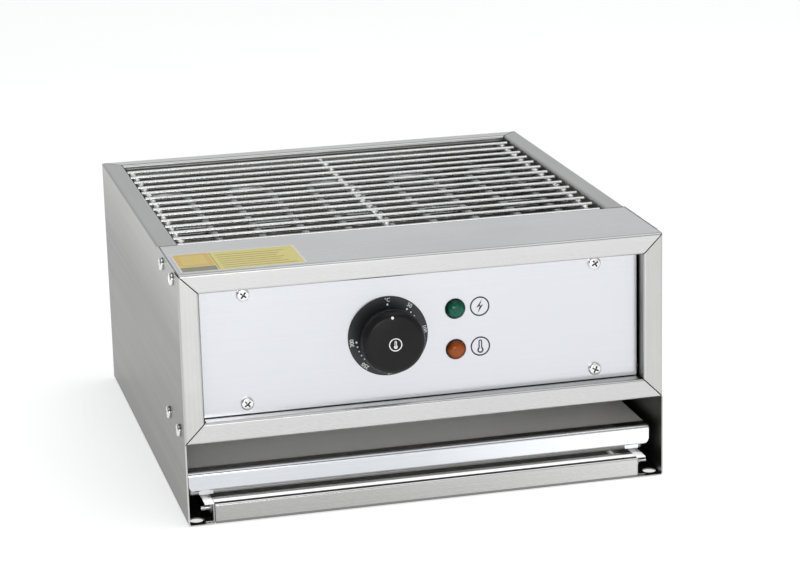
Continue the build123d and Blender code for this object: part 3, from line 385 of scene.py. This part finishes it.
def moulded(name, base, rough, coat=0.0, grain=2600.0, bump=0.10, spec=0.5):
    """Moulded plastic with a fine spark-eroded grain."""
    t = Tree(name)
    g = t.noise(t.pos, grain, 2.0, 0.6)
    d = t.noise(t.pos, 40.0, 2.0, 0.5)
    col = t.ramp(t.remap(d, 0.3, 0.7, 0.0, 1.0), [(0.0, tint(base, 0.88)), (1.0, tint(base, 1.15))])
    t.link(col, t.bsdf.inputs["Base Color"])
    t.link(t.remap(g, 0.3, 0.7, rough - 0.05, rough + 0.06), t.bsdf.inputs["Roughness"])
    t.set(coat=coat, coat_rough=0.2, spec=spec)
    t.link(t.bump(g, bump, 0.00005), t.bsdf.inputs["Normal"])
    return t.mat


def element_material():
    """Sheathed heating tube, light grey with heat-tinted patches."""
    t = Tree("element_tube")
    d = t.noise(t.scaled(30.0, 9.0, 30.0), 1.0, 3.0, 0.6)
    n = t.noise(t.pos, 1200.0, 2.0, 0.6)
    col = t.ramp(t.remap(d, 0.3, 0.7, 0.0, 1.0), [(0.0, (0.40, 0.405, 0.41)), (0.55, (0.58, 0.585, 0.59)), (1.0, (0.66, 0.65, 0.63))])
    t.link(col, t.bsdf.inputs["Base Color"])
    t.link(t.remap(n, 0.3, 0.7, 0.34, 0.50), t.bsdf.inputs["Roughness"])
    t.set(metal=0.85)
    t.link(t.bump(n, 0.12, 0.00006), t.bsdf.inputs["Normal"])
    return t.mat


def lens_material(name, deep, bright, centre):
    """Coloured lamp lens: clear glossy skin over a pattern of small prisms, with painted shade darkening it towards the
    rim.
    """
    t = Tree(name)
    m = t.add("ShaderNodeMapping")
    m.inputs["Scale"].default_value = (900.0, 900.0, 900.0)
    m.inputs["Rotation"].default_value = (0, math.radians(45), 0)
    t.link(t.pos, m.inputs["Vector"])
    v = t.add("ShaderNodeTexVoronoi", feature="F1", distance="CHEBYCHEV")
    v.inputs["Scale"].default_value = 1.0
    v.inputs["Randomness"].default_value = 0.1
    t.link(m.outputs[0], v.inputs["Vector"])
    n = t.noise(t.pos, 420.0, 2.0, 0.6)
    f = t.math("ADD", t.math("MULTIPLY", v.outputs["Distance"], 0.6), t.math("MULTIPLY", n, 0.6))
    sep = t.add("ShaderNodeSeparateXYZ")
    t.link(t.pos, sep.inputs[0])
    # painted shade: the lens colour darkens towards the rim
    dx = t.math("SUBTRACT", sep.outputs[0], centre[0])
    dz = t.math("SUBTRACT", sep.outputs[2], centre[1])
    r2 = t.math("ADD", t.math("MULTIPLY", dx, dx), t.math("MULTIPLY", dz, dz))
    mul = t.add("ShaderNodeVectorMath", operation="SCALE")
    t.link(t.ramp(t.remap(f, 0.3, 0.8, 0.0, 1.0), [(0.0, deep), (1.0, bright)]), mul.inputs[0])
    t.link(t.remap(r2, 0.0042 ** 2, 0.0076 ** 2, 1.0, 0.22), mul.inputs["Scale"])
    t.link(mul.outputs[0], t.bsdf.inputs["Base Color"])
    t.link(t.remap(n, 0.3, 0.7, 0.10, 0.16), t.bsdf.inputs["Roughness"])
    t.set(coat=0.30, coat_rough=0.04, sss=0.08, spec=0.15)
    t.bsdf.inputs["Subsurface Scale"].default_value = 0.002
    return t.mat


def ink(name, base, rough=0.45):
    t = Tree(name)
    n = t.noise(t.pos, 1500.0, 2.0, 0.5)
    t.link(t.ramp(t.remap(n, 0.3, 0.7, 0.0, 1.0), [(0.0, tint(base, 0.9)), (1.0, tint(base, 1.05))]), t.bsdf.inputs["Base Color"])
    t.set(rough=rough)
    return t.mat


M["panel"] = panel_material()
M["bright"] = polished("steel_bright", (0.74, 0.74, 0.745), 0.13)
M["screw"] = polished("steel_screw", (0.80, 0.80, 0.80), 0.16, recess_shade=0.0016)
M["rod"] = polished("steel_rod", (0.80, 0.80, 0.795), 0.27)
# painted light: the cross rods get a lighter copy of the rod steel, so they show bright between the rods
M["cross"] = polished("steel_cross_rod", (0.92, 0.92, 0.91), 0.40)
M["weld"] = polished("weld_metal", (0.93, 0.93, 0.92), 0.30, speck=0.1)
M["foam"] = moulded("gasket_foam", (0.012, 0.012, 0.013), 0.8, grain=1500.0)
M["brass"] = polished("brass", (0.78, 0.62, 0.30), 0.28)
M["copper"] = polished("copper", (0.80, 0.47, 0.33), 0.30)
M["element"] = element_material()
M["bezel"] = moulded("bezel_plastic", (0.012, 0.014, 0.016), 0.34)
M["knob"] = moulded("knob_plastic", (0.0110, 0.0098, 0.0104), 0.30, grain=3200.0, bump=0.05, spec=0.17)
M["inner_plastic"] = moulded("inner_plastic", (0.09, 0.09, 0.095), 0.5)
M["ceramic"] = moulded("ceramic", (0.80, 0.78, 0.72), 0.45, grain=900.0)
M["green"] = lens_material("lens_green", (0.0, 0.045, 0.028), (0.001, 0.165, 0.09), (0.0257, 0.1492))
M["amber"] = lens_material("lens_amber", (0.24, 0.045, 0.002), (0.42, 0.09, 0.003), (0.0257, 0.1168))
M["white_ink"] = ink("white_ink", (0.94, 0.94, 0.92))
M["black_ink"] = ink("black_ink", (0.014, 0.015, 0.019))


def label_material():
    """Blank label: yellow film in a white border, with plain blocks at its left and ruled lines over the rest."""
    t = Tree("label_film")
    cx, cy, w, d = LABEL
    sep = t.add("ShaderNodeSeparateXYZ")
    t.link(t.pos, sep.inputs[0])
    x = t.math("SUBTRACT", sep.outputs[0], cx - w / 2)      # 0..w from the left
    y = t.math("SUBTRACT", sep.outputs[1], cy - d / 2)      # 0..d from the front

    def box(x0, x1, y0, y1):
        a = t.math("MULTIPLY", t.math("GREATER_THAN", x, x0), t.math("LESS_THAN", x, x1))
        b = t.math("MULTIPLY", t.math("GREATER_THAN", y, y0), t.math("LESS_THAN", y, y1))
        return t.math("MULTIPLY", a, b)

    n = t.noise(t.pos, 220.0, 3.0, 0.6)
    yellow = t.ramp(t.remap(n, 0.3, 0.7, 0.0, 1.0), [(0.0, (0.93, 0.80, 0.19)), (1.0, (0.98, 0.87, 0.25))])
    col = t.mix(box(0.0016, w - 0.0016, 0.0016, d - 0.0016), (0.96, 0.96, 0.95), yellow)
    # plain blocks at the left: orange at the back, grey-brown along the front
    col = t.mix(box(0.0016, 0.0285, 0.0165, d - 0.0016), col, (0.93, 0.60, 0.10))
    col = t.mix(box(0.0055, 0.0245, 0.0215, d - 0.006), col, (0.97, 0.71, 0.14))
    col = t.mix(box(0.0016, 0.0285, 0.0016, 0.0145), col, (0.30, 0.28, 0.18))
    # thin line between the blocks and the ruled field
    col = t.mix(box(0.0295, 0.0302, 0.0035, d - 0.0035), col, (0.45, 0.36, 0.09))
    # ruled lines
    ly = t.math("MODULO", t.math("ADD", y, 0.0008), 0.0062)
    lines = t.math("LESS_THAN", ly, 0.0017)
    ends = t.remap(t.noise(t.scaled(0.0, 161.0, 0.0), 1.0, 0.0, 0.5), 0.3, 0.7, w - 0.020, w - 0.006)
    short = t.math("LESS_THAN", x, ends)
    field = box(0.0335, w - 0.005, 0.005, d - 0.006)
    col = t.mix(t.math("MULTIPLY", t.math("MULTIPLY", lines, short), field), col, (0.50, 0.40, 0.085))
    t.link(col, t.bsdf.inputs["Base Color"])
    t.link(t.remap(n, 0.3, 0.7, 0.34, 0.46), t.bsdf.inputs["Roughness"])
    t.set(coat=0.15, coat_rough=0.25, spec=0.35)
    return t.mat


M["label"] = label_material()

LOOK = {
    "left_side_panel": "side", "right_side_panel": "side", "back_panel": "back",
    "control_box_top": "top", "control_box_bottom": "front", "control_box_rear_wall": "inner",
    "control_panel": "panel", "panel_gasket": "foam", "control_panel_screws": "screw", "left_side_screws": "screw",
    "right_side_screws": "screw", "back_panel_screws": "screw", "dial_bezel": "bezel", "knob": "knob",
    "thermostat_screws": "bright", "thermostat_body": "inner_plastic", "thermostat_shaft": "bright",
    "thermostat_capillary": "copper", "thermostat_bulb": "copper", "bulb_clip": "inner",
    "green_lamp_body": "inner_plastic", "green_lamp_nut": "inner_plastic", "green_lamp_lens": "green",
    "amber_lamp_body": "inner_plastic", "amber_lamp_nut": "inner_plastic", "amber_lamp_lens": "amber",
    "element_bushings": "brass", "element_bushing_nuts": "brass", "element_insulators": "ceramic",
    "element_ties": "bright", "live_bus_bar": "brass", "neutral_bus_bar": "brass", "terminal_nuts": "brass",
    "terminal_block": "ceramic", "terminal_block_screws": "brass", "earth_stud": "brass",
    "cable_gland": "bezel", "gland_locknut": "bezel", "left_liner": "inner", "right_liner": "inner",
    "back_liner": "inner", "front_grate_support": "inner", "rear_grate_support": "pan",
    "grate_rods": "rod", "grate_cross_rods": "cross", "tray_pan": "pan", "tray_front": "tray",
    "left_tray_runner": "runner", "right_tray_runner": "runner", "front_rail": "front_rail", "rear_rail": "rail",
    "rail_screws": "bright", "rail_nuts": "bright", "blank_label": "label",
    **{f"heating_element_{i}": "element" for i in range(1, 6)},
}
for node, key in LOOK.items():
    if node in NODES:
        paint(node, M[key])


# ------------------------------------------------------------------ small printed and welded pieces
def mesh_object(name, verts, faces, mat, smooth=False):
    me = bpy.data.meshes.new(name)
    me.from_pydata([tuple(v) for v in verts], [], faces)
    me.materials.append(mat)
    if smooth:
        for p in me.polygons:
            p.use_smooth = True
    me.validate()
    ob = bpy.data.objects.new(name, me)
    scene.collection.objects.link(ob)
    return ob


def thick(name, loops, place, mat, h=0.00012):
    """Flat print: closed loops of 2-D points (outer first) extruded a hair, placed by place(u, v, w)."""
    cu = bpy.data.curves.new(name, "CURVE")
    cu.dimensions = "2D"
    cu.fill_mode = "BOTH"
    for loop in loops:
        sp = cu.splines.new("POLY")
        sp.points.add(len(loop) - 1)
        for p, (u, v) in zip(sp.points, loop):
            p.co = (u, v, 0.0, 1.0)
        sp.use_cyclic_u = True
    tmp = bpy.data.objects.new(name + "_tmp", cu)
    me = bpy.data.meshes.new_from_object(tmp)
    bpy.data.objects.remove(tmp)
    bpy.data.curves.remove(cu)
    bm = bmesh.new()
    bm.from_mesh(me)
    bmesh.ops.remove_doubles(bm, verts=bm.verts, dist=1e-7)
    flat = [f for f in bm.faces]
    ext = bmesh.ops.extrude_face_region(bm, geom=flat)
    for v in (g for g in ext["geom"] if isinstance(g, bmesh.types.BMVert)):
        v.co.z += h
    bmesh.ops.recalc_face_normals(bm, faces=bm.faces)
    for v in bm.verts:
        v.co = Vector(place(v.co.x, v.co.y, v.co.z))
    bmesh.ops.recalc_face_normals(bm, faces=bm.faces)
    bm.to_mesh(me)
    bm.free()
    me.name = name
    me.materials.clear()
    me.materials.append(mat)
    ob = bpy.data.objects.new(name, me)
    scene.collection.objects.link(ob)
    return ob


def circle(cx, cy, r, n=40, ccw=True):
    pts = [(cx + r * math.cos(2 * math.pi * i / n), cy + r * math.sin(2 * math.pi * i / n)) for i in range(n)]
    return pts if ccw else pts[::-1]


def on_plane_y(y):
    """Print on a face that looks to -Y: u is X, v is Z, w stands out to the front."""
    return lambda u, v, w: (u, y - w, v)


def text_loops(s, size, spacing=1.0):
    """Outline loops of a short number from the built-in font, centred on the origin."""
    cu = bpy.data.curves.new("t", "FONT")
    cu.body = s
    cu.size = size
    cu.align_x, cu.align_y = "CENTER", "CENTER"
    cu.space_character = spacing
    cu.resolution_u = 4
    ob = bpy.data.objects.new("t", cu)
    me = bpy.data.meshes.new_from_object(ob)
    bpy.data.objects.remove(ob)
    bpy.data.curves.remove(cu)
    return me


def text_piece(name, s, size, place, mat, turn=0.0, at=(0.0, 0.0), h=0.0001, spacing=1.0, bold=0.0):
    me = text_loops(s, size, spacing)
    bm = bmesh.new()
    bm.from_mesh(me)
    bpy.data.meshes.remove(me)
    bmesh.ops.remove_doubles(bm, verts=bm.verts, dist=1e-7)
    ext = bmesh.ops.extrude_face_region(bm, geom=list(bm.faces))
    for v in (g for g in ext["geom"] if isinstance(g, bmesh.types.BMVert)):
        v.co.z += h
    c, sn = math.cos(turn), math.sin(turn)
    for v in bm.verts:
        u, w = v.co.x * c - v.co.y * sn + at[0], v.co.x * sn + v.co.y * c + at[1]
        v.co = Vector(place(u, w, v.co.z))
    bmesh.ops.recalc_face_normals(bm, faces=bm.faces)
    out = bpy.data.meshes.new(name)
    bm.to_mesh(out)
    bm.free()
    out.materials.append(mat)
    ob = bpy.data.objects.new(name, out)
    scene.collection.objects.link(ob)
    return ob


def join(name, obs):
    """One object out of several meshes with the same material."""
    bm = bmesh.new()
    for o in obs:
        bm.from_mesh(o.data)
    me = bpy.data.meshes.new(name)
    bm.to_mesh(me)
    bm.free()
    me.materials.append(obs[0].data.materials[0])
    for o in obs:
        bpy.data.objects.remove(o)
    ob = bpy.data.objects.new(name, me)
    scene.collection.objects.link(ob)
    return ob


# dial scale: numbers, dots, and the degree sign at the top
def dial_print():
    place = on_plane_y(BEZEL_Y)
    cx, cz = DIAL
    angles = {0: 0.0, 50: 37.0, 100: 83.5, 150: 130.0, 200: 176.5, 250: 220.5, 300: 264.0}
    obs = []
    r_num, r_dot = 0.02865, 0.0252
    for value, a in angles.items():
        th = math.radians(90 - a)
        s = "°C" if value == 0 else str(value)
        obs.append(text_piece(f"n{value}", s, 0.0044 if value else 0.0042, place, M["white_ink"],
                              turn=math.radians(-a), at=(cx + r_num * math.cos(th), cz + r_num * math.sin(th)), spacing=0.95))
    marks = sorted(angles.values())
    for a in marks:
        th = math.radians(90 - a)
        obs.append(thick("d", [circle(cx + r_dot * math.cos(th), cz + r_dot * math.sin(th), 0.00078, 14)], place, M["white_ink"]))
    for a0, a1 in zip(marks[1:], marks[2:]):
        for k in range(1, 5):
            th = math.radians(90 - (a0 + (a1 - a0) * k / 5))
            obs.append(thick("d", [circle(cx + r_dot * math.cos(th), cz + r_dot * math.sin(th), 0.00058, 12)], place, M["white_ink"]))
    ob = join("dial_scale", obs)
    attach(ob, "body")
    return ob


dial_print()


def thermometer_loops(cx, cz, s):
    """Outline of a thermometer: a tube over a bulb, as an outer and an inner loop."""
    def outline(rt, rb, top, bulb, grow):
        pts = []
        tube, bul = rt, rb
        a0 = math.asin(min(1.0, tube / bul))
        for i in range(13):
            a = math.pi * i / 12
            pts.append((tube * math.cos(a), top + tube * math.sin(a)))
        n = 28
        start = math.pi / 2 + a0
        for i in range(n + 1):
            a = start + (2 * math.pi - 2 * a0) * i / n
            pts.append((bul * math.cos(a), bulb + bul * math.sin(a)))
        return [(cx + x * s, cz + y * s) for x, y in pts]
    outer = outline(0.20, 0.34, 0.52, -0.40, 0)
    inner = outline(0.078, 0.185, 0.52, -0.40, 0)[::-1]
    return outer, inner


def panel_icons():
    place = on_plane_y(PANEL_Y)
    obs = []
    x0, z_bolt, z_therm = ICON_X + 0.0006, 0.1493, 0.1173
    for z in (z_bolt, z_therm):
        obs.append(thick("ring", [circle(x0, z, 0.0078, 64), circle(x0, z, 0.00670, 64, False)], place, M["black_ink"]))
    s = 0.0052
    outer, inner = thermometer_loops(x0, z_therm, s * 1.42)
    obs.append(thick("thermo", [outer, inner], place, M["black_ink"]))
    # lightning bolt
    bolt = [(0.34, 1.0), (-0.50, -0.14), (0.02, 0.04), (-0.32, -1.0), (0.50, 0.24), (-0.02, 0.06)]
    obs.append(thick("bolt", [[(x0 + x * s, z_bolt + y * s) for x, y in bolt][::-1]], place, M["black_ink"]))
    ob = join("panel_icons", obs)
    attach(ob, "body")
    return ob


panel_icons()


def lamp_rims():
    """Thin dark rings at the edge of the two lenses: painted shade, drawing the dark outline round each lens."""
    bm = bmesh.new()
    section = [(0.00768, 0.0), (0.00812, 0.0), (0.00808, 0.0006), (0.0079, 0.0008), (0.00768, 0.0007)]
    n = 64
    for z in (LAMP_Z[0], LAMP_Z[1]):
        rings = []
        for i in range(n):
            a = 2 * math.pi * i / n
            rings.append([bm.verts.new((LAMP_X + r * math.cos(a), PANEL_Y - 0.00001 - h, z + r * math.sin(a))) for r, h in section])
        for i in range(n):
            a, b = rings[i], rings[(i + 1) % n]
            for k in range(len(section)):
                f = bm.faces.new((a[k], a[(k + 1) % len(section)], b[(k + 1) % len(section)], b[k]))
                f.smooth = True
    bmesh.ops.recalc_face_normals(bm, faces=bm.faces)
    me = bpy.data.meshes.new("lamp_rims")
    bm.to_mesh(me)
    bm.free()
    me.materials.append(M["bezel"])
    ob = bpy.data.objects.new("lamp_rims", me)
    scene.collection.objects.link(ob)
    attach(ob, "body")


lamp_rims()


def knob_front(r):
    """How far the knob's front stands out at radius r, from the section in the CAD."""
    if r <= 0.0192:
        h = 0.0019
        big = (0.0192 ** 2 + h * h) / (2 * h)
        return 0.0229 - (big - math.sqrt(big * big - r * r))
    # the rounded shoulder, an arc through three points
    (x1, y1), (x2, y2), (x3, y3) = (0.0247, 0.0163), (0.0230, 0.0193), (0.0192, 0.0210)
    d = 2 * (x1 * (y2 - y3) + x2 * (y3 - y1) + x3 * (y1 - y2))
    ux = ((x1 ** 2 + y1 ** 2) * (y2 - y3) + (x2 ** 2 + y2 ** 2) * (y3 - y1) + (x3 ** 2 + y3 ** 2) * (y1 - y2)) / d
    uy = ((x1 ** 2 + y1 ** 2) * (x3 - x2) + (x2 ** 2 + y2 ** 2) * (x1 - x3) + (x3 ** 2 + y3 ** 2) * (x2 - x1)) / d
    rad = math.hypot(x1 - ux, y1 - uy)
    return uy + math.sqrt(max(0.0, rad * rad - (r - ux) ** 2))


def on_knob(u, v, w):
    r = math.hypot(u, v)
    return (DIAL[0] + u, KNOB_Y0 - knob_front(min(r, 0.0245)) - w + 0.00002, DIAL[1] + v)


def knob_print():
    obs = []
    z0 = -0.0003
    obs.append(thick("kr", [circle(0, z0, 0.0051, 56), circle(0, z0, 0.0044, 56, False)], on_knob, M["white_ink"]))
    outer, inner = thermometer_loops(0, z0, 0.0042)
    obs.append(thick("kt", [outer, inner], on_knob, M["white_ink"]))
    obs.append(thick("kb", [circle(0, z0 - 0.40 * 0.0042, 0.0006, 18)], on_knob, M["white_ink"]))
    obs.append(thick("kp", [circle(-0.0014, 0.0204, 0.0011, 20)], on_knob, M["white_ink"]))
    ob = join("knob_print", obs)
    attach(ob, "knob")
    return ob


knob_print()


def weld_beads():
    """Uneven beads of weld metal on both sides of each crossing of the grate."""
    rng = random.Random(11)
    bm = bmesh.new()
    zc = ROD_Z - ROD_R - 0.0001
    for x in CROSS_X:
        for i in range(ROD_N):
            y = ROD_Y0 + i * ROD_PITCH
            for side in (-1, 1):
                for k in range(2):
                    turn = Matrix.Rotation(rng.uniform(-0.5, 0.5), 4, "Z")
                    size = Matrix.Diagonal((rng.uniform(0.0025, 0.0036), rng.uniform(0.0013, 0.0019), rng.uniform(0.0012, 0.0017), 1.0))
                    place = Matrix.Translation((x + rng.uniform(-0.0009, 0.0009), y + side * rng.uniform(0.0011, 0.0018),
                                                zc + rng.uniform(-0.0004, 0.0005)))
                    bmesh.ops.create_icosphere(bm, subdivisions=2, radius=1.0, matrix=place @ turn @ size)
    me = bpy.data.meshes.new("grate_welds")
    for f in bm.faces:
        f.smooth = True
    bm.to_mesh(me)
    bm.free()
    me.materials.append(M["weld"])
    ob = bpy.data.objects.new("grate_welds", me)
    scene.collection.objects.link(ob)
    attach(ob, "grate")


weld_beads()


# ------------------------------------------------------------------ floor and light
KEY, FRONT, FILL = 17.0, 7.0, 7.0
FLOOR_GLOW = 0.58
WORLD_BACK, WORLD_FRONT, WORLD_TOP, WORLD_LEFT = 0.86, 0.42, 0.30, 0.55


def area(name, loc, target, size, energy, color=(1, 1, 1)):
    li = bpy.data.lights.new(name, "AREA")
    li.shape = "RECTANGLE"
    li.size, li.size_y = size
    li.energy = energy
    li.color = color
    ob = bpy.data.objects.new(name, li)
    ob.location = loc
    ob.rotation_euler = (Vector(target) - Vector(loc)).to_track_quat("-Z", "Y").to_euler()
    scene.collection.objects.link(ob)
    return ob


def floor_and_light():
    t = Tree("floor")
    n = t.noise(t.pos, 3.0, 2.0, 0.5)
    t.link(t.ramp(t.remap(n, 0.3, 0.7, 0.0, 1.0), [(0.0, (0.90, 0.90, 0.90)), (1.0, (0.93, 0.93, 0.93))]), t.bsdf.inputs["Base Color"])
    t.set(rough=0.75)
    t.bsdf.inputs["Emission Color"].default_value = (1.0, 1.0, 1.0, 1.0)
    # painted light: the pale floor glows around the object, which washes out its shadow there, and does not glow under
    # it
    sep = t.add("ShaderNodeSeparateXYZ")
    t.link(t.pos, sep.inputs[0])
    ax = t.math("ABSOLUTE", sep.outputs[0], 0.0)
    under = t.math("MULTIPLY", t.remap(ax, 0.165, 0.172, 1.0, 0.0),
                   t.math("MULTIPLY", t.remap(sep.outputs[1], -0.190, -0.182, 0.0, 1.0),
                          t.remap(sep.outputs[1], 0.182, 0.190, 1.0, 0.0)))
    t.link(t.math("MULTIPLY", t.math("SUBTRACT", 1.0, under), FLOOR_GLOW), t.bsdf.inputs["Emission Strength"])
    fl = mesh_object("floor", [(-14, -14, -0.0004), (14, -14, -0.0004), (14, 14, -0.0004), (-14, 14, -0.0004)], [(0, 1, 2, 3)], t.mat)
    area("key", (0.5, -0.5, 2.5), (0, 0, 0.1), (2.4, 2.0), KEY)
    area("front", (1.0, -3.4, 0.8), (0, 0, 0.10), (2.4, 1.2), FRONT)
    area("fill", (-0.3, -1.9, 0.55), (0, -0.2, 0.04), (0.9, 0.5), FILL)
    # studio surroundings: a pale backdrop low down behind the object, dimmer overhead, in front and to the left
    w = bpy.data.worlds.new("world")
    scene.world = w
    w.use_nodes = True
    nt = w.node_tree
    bg = nt.nodes["Background"]
    co = nt.nodes.new("ShaderNodeTexCoord")
    sep = nt.nodes.new("ShaderNodeSeparateXYZ")
    nt.links.new(co.outputs["Generated"], sep.inputs[0])

    def put(sock, v):
        if isinstance(v, (int, float)):
            sock.default_value = v
        else:
            nt.links.new(v, sock)

    def ramp(sock, lo, hi, c0, c1):
        r = nt.nodes.new("ShaderNodeMapRange")
        r.interpolation_type = "SMOOTHSTEP"
        for i, v in enumerate((lo, hi, c0, c1)):
            put(r.inputs[i + 1], v)
        nt.links.new(sock, r.inputs[0])
        return r.outputs[0]

    low = ramp(sep.outputs[1], -0.5, 0.6, WORLD_FRONT, WORLD_BACK)
    level = ramp(sep.outputs[2], 0.25, 0.8, low, WORLD_TOP)
    mul = nt.nodes.new("ShaderNodeMath")
    mul.operation = "MULTIPLY"
    nt.links.new(level, mul.inputs[0])
    nt.links.new(ramp(sep.outputs[0], -0.9, 0.1, WORLD_LEFT, 1.0), mul.inputs[1])
    bg.inputs[0].default_value = (0.97, 0.985, 1.0, 1.0)
    nt.links.new(mul.outputs[0], bg.inputs[1])


floor_and_light()
